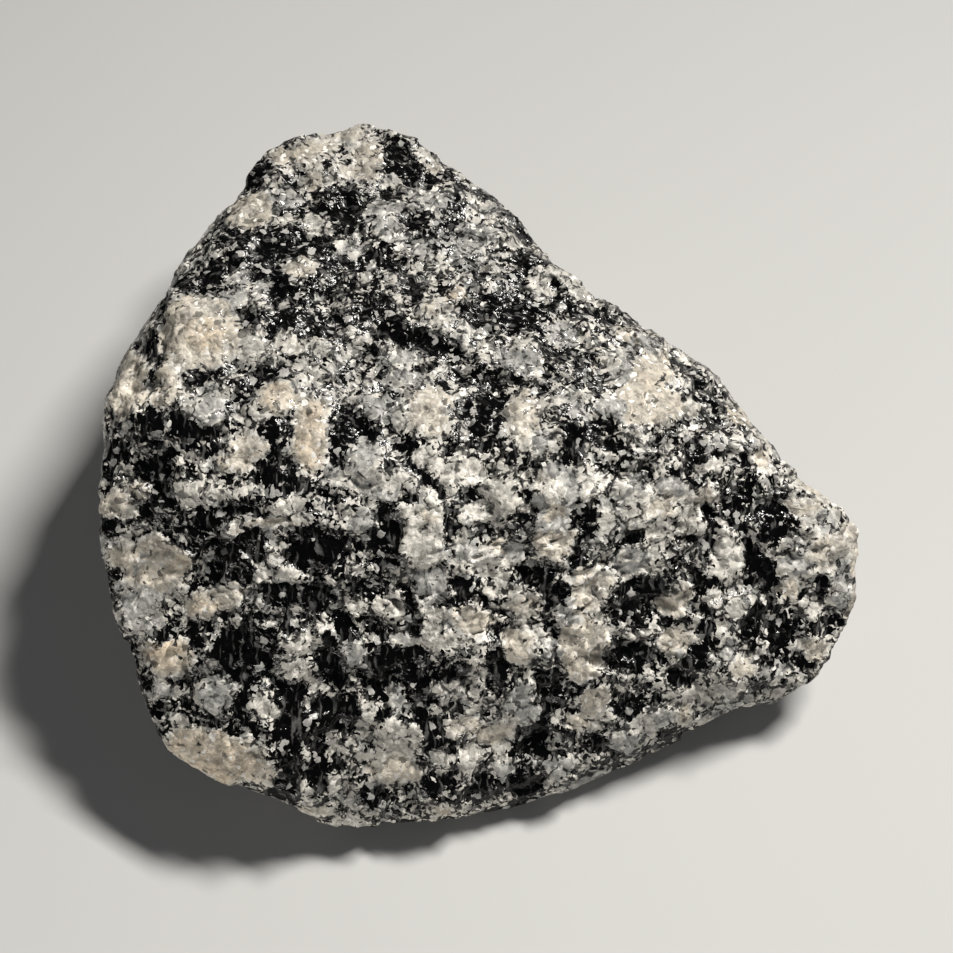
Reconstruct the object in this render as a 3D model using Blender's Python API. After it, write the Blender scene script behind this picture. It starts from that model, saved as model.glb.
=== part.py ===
"""Granodiorite rock: a hand-sized, three-cornered stone, broken from coarse grey rock and worn round.

Metres, +Z up. The stone lies on a small flat spot on its underside, which is at z = 0, and the origin
is on the floor under the middle of the stone. +X is its long way, and -Y is its low, sloping side.
"""

import bmesh
import bpy
import numpy as np
from mathutils import Matrix, Vector

MM = 0.001

# Driving dimensions, in millimetres.
LENGTH = 75.8          # along X, from the steep side to the rounded nose
BREADTH = 73.1         # along Y, from the low front edge to the top corner
CREST_HEIGHT = 26.0    # of the blank's dome over the floor, before the facets are broken off it
UNDERSIDE_DEPTH = 1.0  # of the blank's underside below the floor: what the resting spot cuts away
MIDDLE_HEIGHT = 11.0   # of the point that the facets' distances are measured from

# The stone seen from above, anticlockwise from its nose at +X: x, y, and the height of its widest line.
OUTLINE = [
    (37.4, -11.0, 8.0), (31.2, -6.6, 9.5), (27.0, -1.2, 10.5), (24.2, 4.0, 10.5), (19.4, 7.4, 10.5),
    (11.8, 12.4, 10.5), (8.2, 15.2, 10.5), (5.0, 19.6, 10.5), (0.8, 23.8, 10.5), (-4.4, 27.6, 10.5),
    (-11.0, 31.2, 9.5), (-16.8, 30.6, 9.0), (-22.3, 29.2, 10.5), (-24.6, 26.0, 11.2), (-26.0, 21.8, 12.0),
    (-31.9, 11.5, 13.5), (-36.2, 4.5, 15.0), (-36.9, -6.5, 16.0), (-36.3, -17.6, 13.5), (-33.7, -24.4, 11.0),
    (-31.2, -30.3, 8.0), (-23.9, -33.7, 5.0), (-14.8, -37.1, 3.0), (-4.5, -36.8, 1.8), (4.8, -35.1, 1.0),
    (13.3, -32.0, 1.4), (23.6, -26.9, 2.8), (31.1, -25.1, 4.8), (37.7, -21.1, 6.0), (39.0, -15.6, 7.0),
]
TOP_FULLNESS = 2.6     # exponent of the side curve over the widest line: 2 is an ellipse, more is boxier
KEEL_FULLNESS = 1.8    # the same under its widest line, where the stone is bowed like a shallow boat

# Facets broken off the blank and worn: name, facing in degrees anticlockwise from +X, lean in degrees
# above the horizontal, distance from the middle point, and how softly the facet's edges are worn.
FACETS = [
    ("back slope", 80.0, 75.0, 10.0, 1.0),
    ("crest", 270.0, 84.0, 12.8, 0.8),
    ("front slope", 282.0, 71.0, 14.0, 1.0),
    ("front apron", 282.0, 52.0, 15.8, 1.2),
    ("nose apron", 304.0, 52.0, 18.6, 1.2),
    ("left shoulder", 244.0, 61.0, 17.5, 0.8),
    ("nose slope", 352.0, 66.0, 16.5, 1.2),
    ("back right edge", 48.0, 45.0, 15.8, 1.2),
    ("back left edge", 146.0, 45.0, 26.8, 1.2),
    ("keel left", 190.0, -34.0, 32.0, 1.2),
    ("keel right", 18.0, -46.0, 22.5, 1.2),
    ("keel back", 128.0, -42.0, 24.5, 1.2),
]

# Hollows knocked into the surface: name, centre x, y, z, radius and depth.
HOLLOWS = [
    ("notch in the front edge", -20.0, -36.0, 5.0, 3.5, 0.8),
    ("dip in the right edge", 12.0, 16.5, 13.0, 7.0, 0.7),
    ("dip in the left wall", -38.0, -8.0, 10.0, 7.0, 0.7),
    ("saddle beside the crest", 2.0, 10.0, 22.0, 9.0, 0.7),
    ("scoop in the apron", -8.0, -22.0, 18.0, 8.0, 0.7),
    ("scoop under the nose slope", 24.0, -10.0, 18.0, 8.0, 0.6),
]

# Roughness of the broken surface: texture kind, size of one lump, and height from pit to peak.
ROUGHNESS = [
    ("CLOUDS", 16.0, 2.4),
    ("CLOUDS", 6.5, 1.1),
    ("VORONOI", 4.2, 0.7),
]

GRID_CELLS = 28        # cells along each edge of the cube that is rounded into the blank
WORN_HEIGHT = 7.0      # below this height over the floor the roughness fades
WORN_ROUGHNESS = 0.2   # share of the roughness that is left at the resting spot
BLOCK_SIZE = 90.0      # side of the block that cuts the resting spot
BLOCK_THICKNESS = 12.0

GREY_STONE = (0.33, 0.32, 0.31, 1.0)
STONE_ROUGHNESS = 0.62


def new_collection(name):
    """A collection under the scene's own."""
    collection = bpy.data.collections.new(name)
    bpy.context.scene.collection.children.link(collection)
    return collection


def stone_material():
    """Mid grey: the light and dark minerals seen together from a distance."""
    material = bpy.data.materials.new("granodiorite")
    material.use_nodes = True
    shader = material.node_tree.nodes["Principled BSDF"]
    shader.inputs["Base Color"].default_value = GREY_STONE
    shader.inputs["Roughness"].default_value = STONE_ROUGHNESS
    shader.inputs["Metallic"].default_value = 0.0
    return material


def outline_at(angles):
    """Reach and height of the widest line, at each angle, on a smooth closed curve through OUTLINE."""
    points = np.array(OUTLINE)
    knots = np.arctan2(points[:, 1], points[:, 0])
    order = np.argsort(knots)
    knots = knots[order]
    values = np.column_stack([np.hypot(points[:, 0], points[:, 1]), points[:, 2]])[order]
    knots = np.concatenate([knots[-2:] - 2 * np.pi, knots, knots[:3] + 2 * np.pi])
    values = np.concatenate([values[-2:], values, values[:3]])
    slopes = (values[2:] - values[:-2]) / (knots[2:] - knots[:-2])[:, None]
    span = np.clip(np.searchsorted(knots, angles, side="right") - 1, 1, len(knots) - 3)
    gap = (knots[span + 1] - knots[span])[:, None]
    t = (angles - knots[span])[:, None] / gap
    start = (2 * t**3 - 3 * t**2 + 1) * values[span] + (t**3 - 2 * t**2 + t) * gap * slopes[span - 1]
    end = (3 * t**2 - 2 * t**3) * values[span + 1] + (t**3 - t**2) * gap * slopes[span]
    reach, waist = (start + end).T
    return reach, waist


def blank_surface(directions):
    """The blank: each section is a superellipse, domed over the widest line and bowed under it."""
    flat = np.hypot(directions[:, 0], directions[:, 1])
    rise = directions[:, 2]
    reach, waist = outline_at(np.arctan2(directions[:, 1], directions[:, 0]))
    power = np.where(rise > 0, 2 / TOP_FULLNESS, 2 / KEEL_FULLNESS)
    out = flat ** power
    up = np.abs(rise) ** power
    height = np.where(rise > 0, waist + (CREST_HEIGHT - waist) * up, waist - (waist + UNDERSIDE_DEPTH) * up)
    along = directions[:, :2] / np.maximum(flat, 1e-9)[:, None]
    return np.column_stack([along * (reach * out)[:, None], height])


def break_facets(points):
    """Press the points that stand past each facet's plane back onto it, with a soft, worn edge."""
    middle = np.array([0.0, 0.0, MIDDLE_HEIGHT])
    for _name, facing, lean, distance, wear in FACETS:
        facing, lean = np.radians([facing, lean])
        normal = np.array([np.cos(facing) * np.cos(lean), np.sin(facing) * np.cos(lean), np.sin(lean)])
        past = (points - middle) @ normal - distance
        points = points - (wear * np.logaddexp(0.0, past / wear))[:, None] * normal
    return points


def knock_hollows(points):
    """Push the surface in towards the middle, most at each hollow's centre and fading out at its radius."""
    middle = np.array([0.0, 0.0, MIDDLE_HEIGHT])
    for _name, x, y, z, radius, depth in HOLLOWS:
        centre = np.array([x, y, z])
        near = np.exp(-(((points - centre) ** 2).sum(axis=1)) / (0.5 * radius**2))
        inward = (middle - centre) / np.linalg.norm(middle - centre)
        points = points + (depth * near)[:, None] * inward
    return points


def rounded_cube():
    """A closed cube of even cells, as a bmesh whose corners lie on the unit sphere."""
    bm = bmesh.new()
    bmesh.ops.create_cube(bm, size=2.0)
    bmesh.ops.subdivide_edges(bm, edges=bm.edges[:], cuts=GRID_CELLS - 1, use_grid_fill=True)
    for vertex in bm.verts:
        even = [np.tan(value * np.pi / 4) for value in vertex.co]
        vertex.co = Vector(even).normalized()
    return bm


def shape_stone(bm):
    """Move the sphere's points to the stone's surface, and scale the whole to its length and breadth."""
    points = blank_surface(np.array([vertex.co[:] for vertex in bm.verts]))
    points = knock_hollows(break_facets(points))
    low, high = points.min(axis=0), points.max(axis=0)
    points[:, 0] = (points[:, 0] - (low[0] + high[0]) / 2) * LENGTH / (high[0] - low[0])
    points[:, 1] = (points[:, 1] - (low[1] + high[1]) / 2) * BREADTH / (high[1] - low[1])
    for vertex, point in zip(bm.verts, points):
        vertex.co = Vector(point) * MM


def mark_wear(stone):
    """Full roughness on the top and sides, fading down to the worn underside."""
    group = stone.vertex_groups.new(name="roughness")
    for vertex in stone.data.vertices:
        height = vertex.co.z / (WORN_HEIGHT * MM)
        group.add([vertex.index], min(max(height, WORN_ROUGHNESS), 1.0), "REPLACE")


def add_roughness(stone):
    """Lumps, smaller lumps and crystal-sized bumps, each as a Displace modifier along the surface normals."""
    for kind, size, height in ROUGHNESS:
        texture = bpy.data.textures.new(f"roughness_{size:g}_mm", kind)
        texture.noise_scale = size * MM
        displace = stone.modifiers.new(f"roughness_{size:g}_mm", "DISPLACE")
        displace.texture = texture
        displace.texture_coords = "LOCAL"
        displace.vertex_group = "roughness"
        displace.strength = height * MM
        displace.mid_level = 0.5


def resting_cutter(collection):
    """The block under the floor plane that cuts the small flat spot the stone rests on."""
    bpy.ops.mesh.primitive_cube_add(size=1.0, location=(0.0, 0.0, -BLOCK_THICKNESS / 2 * MM))
    cutter = bpy.context.object
    cutter.name = "resting_spot_cutter"
    cutter.data.transform(Matrix.Diagonal((BLOCK_SIZE * MM, BLOCK_SIZE * MM, BLOCK_THICKNESS * MM, 1.0)))
    cutter.display_type = "WIRE"
    cutter.hide_render = True
    for owner in list(cutter.users_collection):
        owner.objects.unlink(cutter)
    collection.objects.link(cutter)
    return cutter


def cut_resting_spot(stone, cutter):
    """Take away what lies below the floor plane."""
    cut = stone.modifiers.new("resting_spot", "BOOLEAN")
    cut.operation = "DIFFERENCE"
    cut.solver = "EXACT"
    cut.object = cutter


def centre_on_origin(stone):
    """Slide the stone so that the origin is under the middle of its bounding box."""
    bpy.context.view_layer.update()
    evaluated = stone.evaluated_get(bpy.context.evaluated_depsgraph_get())
    corners = np.array([corner[:] for corner in evaluated.bound_box])
    middle = (corners.min(axis=0) + corners.max(axis=0)) / 2
    stone.location = (-middle[0], -middle[1], 0.0)


def make_stone(parts, cutters):
    """The whole stone, one solid."""
    bm = rounded_cube()
    shape_stone(bm)
    mesh = bpy.data.meshes.new("granodiorite_rock")
    bm.to_mesh(mesh)
    bm.free()
    mesh.materials.append(stone_material())
    mesh.shade_smooth()
    stone = bpy.data.objects.new("granodiorite_rock", mesh)
    parts.objects.link(stone)
    mark_wear(stone)
    add_roughness(stone)
    cut_resting_spot(stone, resting_cutter(cutters))
    centre_on_origin(stone)


for leftover in list(bpy.data.objects):
    bpy.data.objects.remove(leftover)

make_stone(new_collection("granodiorite rock"), new_collection("cutters"))
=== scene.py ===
# %% [markdown]
# # A lump of granodiorite, dressed crystal by crystal
# Granodiorite is a coarse, speckled rock: white and cream feldspar, grey quartz, and black mica with
# hornblende. This one is a weathered pebble the size of a palm, rounded at its edges and rough on top.
# The CAD solid already has its outline, its slopes and its flat resting spot. What is missing is the
# fine relief of single crystals and the pattern of the minerals, and this lesson adds both.
# Every length in the lesson is in millimetres, and turns into metres only when a mesh is written.

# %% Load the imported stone
import math
import bmesh
import bpy
import numpy as np
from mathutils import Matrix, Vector


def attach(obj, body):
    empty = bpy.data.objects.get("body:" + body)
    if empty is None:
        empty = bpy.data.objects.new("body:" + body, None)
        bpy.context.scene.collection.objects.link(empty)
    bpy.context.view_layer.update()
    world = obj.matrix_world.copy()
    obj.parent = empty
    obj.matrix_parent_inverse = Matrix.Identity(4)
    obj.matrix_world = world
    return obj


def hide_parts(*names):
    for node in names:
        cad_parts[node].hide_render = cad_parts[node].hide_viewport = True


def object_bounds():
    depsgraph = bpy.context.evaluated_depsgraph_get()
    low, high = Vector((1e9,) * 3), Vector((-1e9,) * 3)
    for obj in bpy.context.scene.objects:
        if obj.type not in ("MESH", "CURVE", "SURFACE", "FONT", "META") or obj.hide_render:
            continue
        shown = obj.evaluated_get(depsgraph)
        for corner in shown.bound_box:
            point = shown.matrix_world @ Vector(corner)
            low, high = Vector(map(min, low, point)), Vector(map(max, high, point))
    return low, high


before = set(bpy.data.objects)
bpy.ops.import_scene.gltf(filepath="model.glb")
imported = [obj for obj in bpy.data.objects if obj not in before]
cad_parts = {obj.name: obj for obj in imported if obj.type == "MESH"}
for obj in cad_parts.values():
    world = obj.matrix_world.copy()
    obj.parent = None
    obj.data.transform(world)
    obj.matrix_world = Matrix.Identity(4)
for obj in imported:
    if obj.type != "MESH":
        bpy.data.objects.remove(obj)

MM = 0.001
cad_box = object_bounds()
stone_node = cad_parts["granodiorite_rock"]
BOX_LOW = np.array(cad_box[0]) / MM
BOX_HIGH = np.array(cad_box[1]) / MM
print("CAD box in mm:", BOX_LOW.round(2), BOX_HIGH.round(2))

# %% [markdown]
# ## The camera
# A pebble on a table is usually looked at from almost straight above. The camera stands in front of the
# stone and looks down at 72 degrees with a long lens, so that the front slope shows a little more than the
# back one. It is placed by what it must see: the width of table that fills the picture gives its distance.

# %% The camera
LENS = 85.0
SENSOR = 36.0
CAMERA_ELEVATION = math.radians(72)
SEEN_WIDTH = 96.2
LOOK_AT = np.array([-0.5, -2.3, 11.0])


def look_along(from_point, to_point):
    """The turn that points an object's own -Z from one place to another, with its X level."""
    return Vector(to_point - from_point).to_track_quat("-Z", "Y")


def add_camera():
    """The camera's place is the point looked at, moved back by the distance at which SEEN_WIDTH fills the
    picture."""
    back = np.array([0.0, -math.cos(CAMERA_ELEVATION), math.sin(CAMERA_ELEVATION)])
    place = LOOK_AT + back * SEEN_WIDTH * LENS / SENSOR
    camera = bpy.data.objects.new("camera", bpy.data.cameras.new("camera"))
    bpy.context.scene.collection.objects.link(camera)
    camera.data.lens = LENS
    camera.data.sensor_width = SENSOR
    camera.data.clip_start = 0.01
    camera.location = place * MM
    camera.rotation_mode = "QUATERNION"
    camera.rotation_quaternion = look_along(place, LOOK_AT)
    bpy.context.scene.camera = camera
    return camera


camera = add_camera()
print("camera at", [round(v / MM, 1) for v in camera.location], "mm")

# %% [markdown]
# ## The light
# One long, fairly small panel stands high at the back right, so the crystals on top throw short, crisp
# shadows and the stone throws a longer one to the front left. Its long side is level: a shadow edge that
# runs across that side is soft, and one that runs along it is sharp. A dim room fills the shadows a little;
# a camera that looks past the table's edge sees a pale wall.
# The panel faces a place a metre beyond the stone, at the front left, so the stone sees it at a slant.
# A long, low panel half a metre away at the front left, with its middle 5 cm above the table, lights the
# slopes that face it. Its light only grazes the table, so most of the shadow stays deep. Right under the
# front edge it reaches in, and the shadow there comes out lighter than it should.

# %% The panels and the room
PANEL_DISTANCE = 500
KEY_AZIMUTH = 48
KEY_ELEVATION = 42.5
KEY_AIM = (-433, -946, 0)
KEY_WARMTH = (1.0, 0.968, 0.915)
FILL_AZIMUTH = 240
FILL_ELEVATION = 6
FILL_AIM = (0, 0, 10)
FILL_WARMTH = (1.0, 0.96, 0.89)


def add_panel(name, azimuth, elevation, distance, size, power, colour, aim, spread):
    """A lit rectangle seen from the stone at a compass angle, counted from +X towards +Y, and a height angle.
    It faces the place called aim, and its grid lets light out only within the spread, in degrees."""
    around, up = math.radians(azimuth), math.radians(elevation)
    level = math.cos(up)
    place = distance * np.array([level * math.cos(around), level * math.sin(around), math.sin(up)])
    data = bpy.data.lights.new(name, "AREA")
    data.shape = "RECTANGLE"
    data.size = size[0] * MM
    data.size_y = size[1] * MM
    data.energy = power
    data.color = colour
    data.spread = math.radians(spread)
    panel = bpy.data.objects.new(name, data)
    bpy.context.scene.collection.objects.link(panel)
    panel.location = place * MM
    panel.rotation_mode = "QUATERNION"
    panel.rotation_quaternion = look_along(place, np.array(aim, dtype=float))
    panel.visible_camera = False
    return panel


add_panel(
    "key_panel", KEY_AZIMUTH, KEY_ELEVATION, PANEL_DISTANCE, (170, 62), 3.02, KEY_WARMTH, KEY_AIM, 103)
add_panel(
    "front_fill", FILL_AZIMUTH, FILL_ELEVATION, PANEL_DISTANCE, (400, 90), 1.35, FILL_WARMTH, FILL_AIM, 180)


def add_room():
    """A world that lights the stone dimly, a little bluish, and that a camera sees as an even pale wall."""
    room = bpy.data.worlds.new("pale_room")
    room.use_nodes = True
    tree = room.node_tree
    light = tree.nodes["Background"]
    light.inputs["Color"].default_value = (0.76, 0.87, 1.0, 1.0)
    light.inputs["Strength"].default_value = 0.05
    wall = tree.nodes.new("ShaderNodeBackground")
    wall.inputs["Color"].default_value = (0.56, 0.555, 0.54, 1.0)
    seen = tree.nodes.new("ShaderNodeLightPath")
    either = tree.nodes.new("ShaderNodeMixShader")
    tree.links.new(seen.outputs["Is Camera Ray"], either.inputs["Fac"])
    tree.links.new(light.outputs["Background"], either.inputs[1])
    tree.links.new(wall.outputs["Background"], either.inputs[2])
    tree.links.new(either.outputs["Shader"], tree.nodes["World Output"].inputs["Surface"])
    bpy.context.scene.world = room


add_room()
bpy.context.scene.view_settings.view_transform = "Standard"
bpy.context.scene.view_settings.look = "None"

# %% [markdown]
# ## The table
# The stone lies on a plain pale sheet. A sheet of card is matt, so it needs nothing but a pale colour with a
# very faint mottling, which keeps large even areas from looking like a computer's fill.

# %% Helpers for node trees
def add_node(tree, kind, inputs=(), **settings):
    """Adds a node. Settings are its own options, and each input is either typed in or wired from a socket."""
    node = tree.nodes.new(kind)
    for name, value in settings.items():
        setattr(node, name, value)
    for socket, value in dict(inputs).items():
        if isinstance(value, bpy.types.NodeSocket):
            tree.links.new(value, node.inputs[socket])
        else:
            node.inputs[socket].default_value = value
    return node


def figure(tree, operation, *values, **settings):
    """The output of a Math node for one, two or three values, each a number or a socket."""
    return add_node(tree, "ShaderNodeMath", enumerate(values), operation=operation, **settings).outputs[0]


def vector_figure(tree, operation, *values):
    """The vector output of a Vector Math node."""
    return add_node(tree, "ShaderNodeVectorMath", enumerate(values), operation=operation).outputs[0]


def ease(tree, value, low, high, start=0.0, end=1.0):
    """A smooth step: start below low, end above high, and a soft S between them."""
    inputs = {"Value": value, "From Min": low, "From Max": high, "To Min": start, "To Max": end}
    return add_node(tree, "ShaderNodeMapRange", inputs, interpolation_type="SMOOTHSTEP").outputs[0]


def blend_colour(tree, share, first, second, mode="MIX"):
    """A colour between two, by a share from 0 to 1. Inputs 0, 6 and 7 are a Mix node's share and colours."""
    node = add_node(tree, "ShaderNodeMix", {0: share, 6: first, 7: second}, data_type="RGBA", blend_type=mode)
    return node.outputs[2]


def blend_number(tree, share, first, second):
    """A number between two, by a share from 0 to 1. Inputs 2 and 3 are a Mix node's numbers."""
    return add_node(tree, "ShaderNodeMix", {0: share, 2: first, 3: second}, data_type="FLOAT").outputs[0]


def new_material(name):
    """An empty material with a Principled shader wired to its output: (material, tree, shader)."""
    material = bpy.data.materials.new(name)
    material.use_nodes = True
    tree = material.node_tree
    shader = tree.nodes["Principled BSDF"]
    return material, tree, shader


# %% The table's surface and sheet
TABLE_WIDTH = 380
TABLE_LINES = 9


def add_table():
    """A square sheet, made of a grid so that it could be bent; its height is zero everywhere."""
    across = np.linspace(-TABLE_WIDTH / 2, TABLE_WIDTH / 2, TABLE_LINES) * MM
    x, y = np.meshgrid(across, across)
    points = np.stack([x, y, np.zeros_like(x)], axis=-1).reshape(-1, 3)
    number = np.arange(TABLE_LINES ** 2).reshape(TABLE_LINES, TABLE_LINES)
    corners = (number[:-1, :-1], number[:-1, 1:], number[1:, 1:], number[1:, :-1])
    faces = np.stack(corners, axis=-1).reshape(-1, 4)
    mesh = bpy.data.meshes.new("table")
    mesh.from_pydata(points.tolist(), [], faces.tolist())
    table = bpy.data.objects.new("table", mesh)
    bpy.context.scene.collection.objects.link(table)
    material, tree, shader = new_material("pale_card")
    place = add_node(tree, "ShaderNodeTexCoord").outputs["Object"]
    mottle = add_node(tree, "ShaderNodeTexNoise", {"Vector": place, "Scale": 9.0, "Detail": 3.0})
    mottle = mottle.outputs["Fac"]
    colour = blend_colour(tree, mottle, (0.50, 0.50, 0.495, 1), (0.52, 0.52, 0.515, 1))
    tree.links.new(colour, shader.inputs["Base Color"])
    shader.inputs["Roughness"].default_value = 0.75
    shader.inputs["Specular IOR Level"].default_value = 0.25
    mesh.materials.append(material)
    return table


table = add_table()
print("table:", len(table.data.polygons), "faces")

# %% [markdown]
# ## A finer skin over the CAD solid
# The CAD stone has nine thousand flat triangles, each a millimetre or more across: enough for its lumps and
# ledges, but too coarse for crystals. The skin is a new closed surface with a vertex every third of a
# millimetre. It starts as the surface of a flat box, divided into squares, because a box has no poles where
# faces crowd together. Each face of the box is a function of two counts, and shared corners and edges get
# one vertex because their whole-number places are the same.

# %% Squares over a box
TOP_SQUARES = 178
SIDE_SQUARES = 50


def box_squares(across, high):
    """The six faces of a box as grids of squares. Every grid point has three whole-number coordinates, so
    points that lie on an edge of the box come out twice and are merged by number.
    Returns the whole-number places of the vertices, the squares, and which of the six faces each is on."""
    places, squares, sides, start = [], [], [], 0
    layout = (
        (2, high, 0, 1, across, across), (2, 0, 1, 0, across, across),
        (1, 0, 0, 2, across, high), (1, across, 2, 0, high, across),
        (0, across, 1, 2, across, high), (0, 0, 2, 1, high, across),
    )
    for side, (fixed, value, first, second, first_count, second_count) in enumerate(layout):
        i, j = np.meshgrid(np.arange(first_count + 1), np.arange(second_count + 1), indexing="ij")
        grid = np.empty(i.shape + (3,), dtype=np.int64)
        grid[..., fixed] = value
        grid[..., first] = i
        grid[..., second] = j
        number = start + np.arange(i.size).reshape(i.shape)
        corners = (number[:-1, :-1], number[1:, :-1], number[1:, 1:], number[:-1, 1:])
        places.append(grid.reshape(-1, 3))
        squares.append(np.stack(corners, axis=-1).reshape(-1, 4))
        sides.append(np.full(first_count * second_count, side))
        start += i.size
    places, merged = np.unique(np.concatenate(places), axis=0, return_inverse=True)
    return places, merged.ravel()[np.concatenate(squares)], np.concatenate(sides)


places, squares, sides = box_squares(TOP_SQUARES, SIDE_SQUARES)
print("skin:", len(places), "vertices,", 2 * len(squares), "triangles")

# %% [markdown]
# The box then becomes a ball round the stone. Each point of the box is a direction from the stone's middle,
# and the ball's points lie far out along those directions. They are crowded towards the level plane first,
# because the stone is a third as thick as it is wide, and most of what one sees of it is top and bottom.

# %% The ball of directions
BALL_MIDDLE = np.array([-2.0, -2.0, 10.5])
BALL_RADIUS = 60.0
BOX_FLATNESS = 0.6
STONE_HALF = np.array([37.0, 35.0, 13.0])


def ball_points(places):
    """Whole-number places on the box, turned into points of a ball. The counts are spread by a tangent so
    that squares near the box's edges keep their size; the directions are then flattened like the stone."""
    counts = np.array([TOP_SQUARES, TOP_SQUARES, SIDE_SQUARES])
    box = np.tan((2.0 * places / counts - 1.0) * np.pi / 4) * [1, 1, BOX_FLATNESS]
    away = box / np.linalg.norm(box, axis=1, keepdims=True) * STONE_HALF
    return BALL_MIDDLE + BALL_RADIUS * away / np.linalg.norm(away, axis=1, keepdims=True)


ball = ball_points(places)
print("ball in mm:", ball.min(axis=0).round(1), ball.max(axis=0).round(1))

# %% [markdown]
# Two modifiers lay the ball onto the stone. Shrinkwrap moves each vertex straight inwards until it meets the
# solid, and Smooth evens out the spacing and rounds off the solid's flat triangles. The solid's own mesh
# stays as it is: the skin meets a copy whose loose triangles have been merged, and that copy is thrown away.

# %% Lay the ball onto the stone
def write_mesh(name, points, squares):
    """A mesh of four-cornered faces from arrays, with its points turned from millimetres into metres."""
    mesh = bpy.data.meshes.new(name)
    mesh.vertices.add(len(points))
    mesh.vertices.foreach_set("co", (points * MM).ravel())
    mesh.loops.add(squares.size)
    mesh.loops.foreach_set("vertex_index", squares.ravel())
    mesh.polygons.add(len(squares))
    mesh.polygons.foreach_set("loop_start", np.arange(0, squares.size, 4))
    mesh.update(calc_edges=True)
    mesh.validate()
    return mesh


def read_mesh(mesh):
    """The points of a mesh in millimetres, and the direction in which its surface faces at each."""
    points, normals = np.empty(3 * len(mesh.vertices)), np.empty(3 * len(mesh.vertices))
    mesh.vertices.foreach_get("co", points)
    mesh.vertices.foreach_get("normal", normals)
    return points.reshape(-1, 3) / MM, normals.reshape(-1, 3)


def merged_copy():
    """A hidden copy of the CAD solid whose triangles share their vertices."""
    mesh = stone_node.data.copy()
    shape = bmesh.new()
    shape.from_mesh(mesh)
    bmesh.ops.remove_doubles(shape, verts=shape.verts, dist=1e-6)
    bmesh.ops.recalc_face_normals(shape, faces=shape.faces)
    shape.to_mesh(mesh)
    shape.free()
    copy = bpy.data.objects.new("stone_to_wrap", mesh)
    bpy.context.scene.collection.objects.link(copy)
    return copy


def lay_on_stone(points, squares):
    """The ball's vertices after both modifiers, and the smooth normals there."""
    target = merged_copy()
    skin = bpy.data.objects.new("ball", write_mesh("ball", points, squares))
    bpy.context.scene.collection.objects.link(skin)
    inwards = skin.modifiers.new("inwards", "SHRINKWRAP")
    inwards.target = target
    inwards.wrap_method = "PROJECT"
    inwards.use_positive_direction = False
    inwards.use_negative_direction = True
    for label, rounds in (("even", 12), ("rounded", 14)):
        smooth = skin.modifiers.new(label, "SMOOTH")
        smooth.factor = 0.5
        smooth.iterations = rounds
        if label == "even":
            nearest = skin.modifiers.new("onto", "SHRINKWRAP")
            nearest.target = target
            nearest.wrap_method = "NEAREST_SURFACEPOINT"
    laid = skin.evaluated_get(bpy.context.evaluated_depsgraph_get())
    found = read_mesh(laid.to_mesh())
    laid.to_mesh_clear()
    for helper in (skin, target):
        mesh = helper.data
        bpy.data.objects.remove(helper)
        bpy.data.meshes.remove(mesh)
    return found


base, facing = lay_on_stone(ball, squares)
print("laid skin in mm:", base.min(axis=0).round(2), base.max(axis=0).round(2))

# %% [markdown]
# ## Random numbers that stay put
# Crystals are irregular, but the stone must come out the same every time. So nothing here is drawn from a
# random generator: a number is worked out from a place, by mixing whole-number coordinates. Two patterns
# are built on it. Soft noise blends the numbers of the eight corners of a cell. Grains give every point to
# the nearest of many scattered seeds, which is also how crystals that grow until they touch divide a space.

# %% Noise and grains
def chance(cells, salt):
    """A number from 0 to 1 for each row of three whole numbers: they are multiplied by large odd numbers,
    joined, and folded twice, so that neighbouring cells come out unrelated."""
    a = cells.astype(np.int64).astype(np.uint64)
    keep = np.uint64(0xFFFFFFFF)
    x, y, z = a[..., 0], a[..., 1], a[..., 2]
    mixed = x * np.uint64(73856093) ^ y * np.uint64(19349663) ^ z * np.uint64(83492791)
    mixed = (mixed ^ np.uint64(salt * 2654435761)) & keep
    for factor, shift in ((2246822519, 15), (3266489917, 13)):
        mixed = ((mixed ^ (mixed >> np.uint64(shift))) * np.uint64(factor)) & keep
    return ((mixed ^ (mixed >> np.uint64(16))) & np.uint64(0xFFFFFF)) / 16777215.0


def soft_noise(points, size, salt):
    """Numbers from -1 to 1 that change smoothly over a distance of size."""
    place = points / size
    cell = np.floor(place).astype(np.int64)
    part = place - cell
    part = part * part * (3 - 2 * part)
    total = np.zeros(len(points))
    for corner in np.ndindex(2, 2, 2):
        total += np.prod(np.where(corner, part, 1 - part), axis=-1) * chance(cell + np.array(corner), salt)
    return 2 * total - 1


def grains(points, size, salt):
    """The grain that each point belongs to, its offset from the grain's seed, and how far it is, in mm,
    from being nearer to another seed. Only the 27 cells round a point can hold its nearest seed."""
    place = points / size
    home = np.floor(place).astype(np.int64)
    best, second = np.full(len(points), 9.0), np.full(len(points), 9.0)
    owner, offset = home.copy(), np.zeros_like(place)
    for step in np.ndindex(3, 3, 3):
        cell = home + np.array(step) - 1
        away = place - cell - np.stack([chance(cell, salt + k) for k in range(3)], axis=-1)
        reach = np.sqrt((away ** 2).sum(axis=-1))
        nearer = reach < best
        second = np.where(nearer, best, np.minimum(second, reach))
        best = np.where(nearer, reach, best)
        owner[nearer] = cell[nearer]
        offset[nearer] = away[nearer]
    return owner, offset * size, (second - best) * size


print("noise at two places:", soft_noise(np.array([[0.0, 1.0, 2.0], [3.5, 1.0, 2.0]]), 2.0, 1).round(3))

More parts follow.
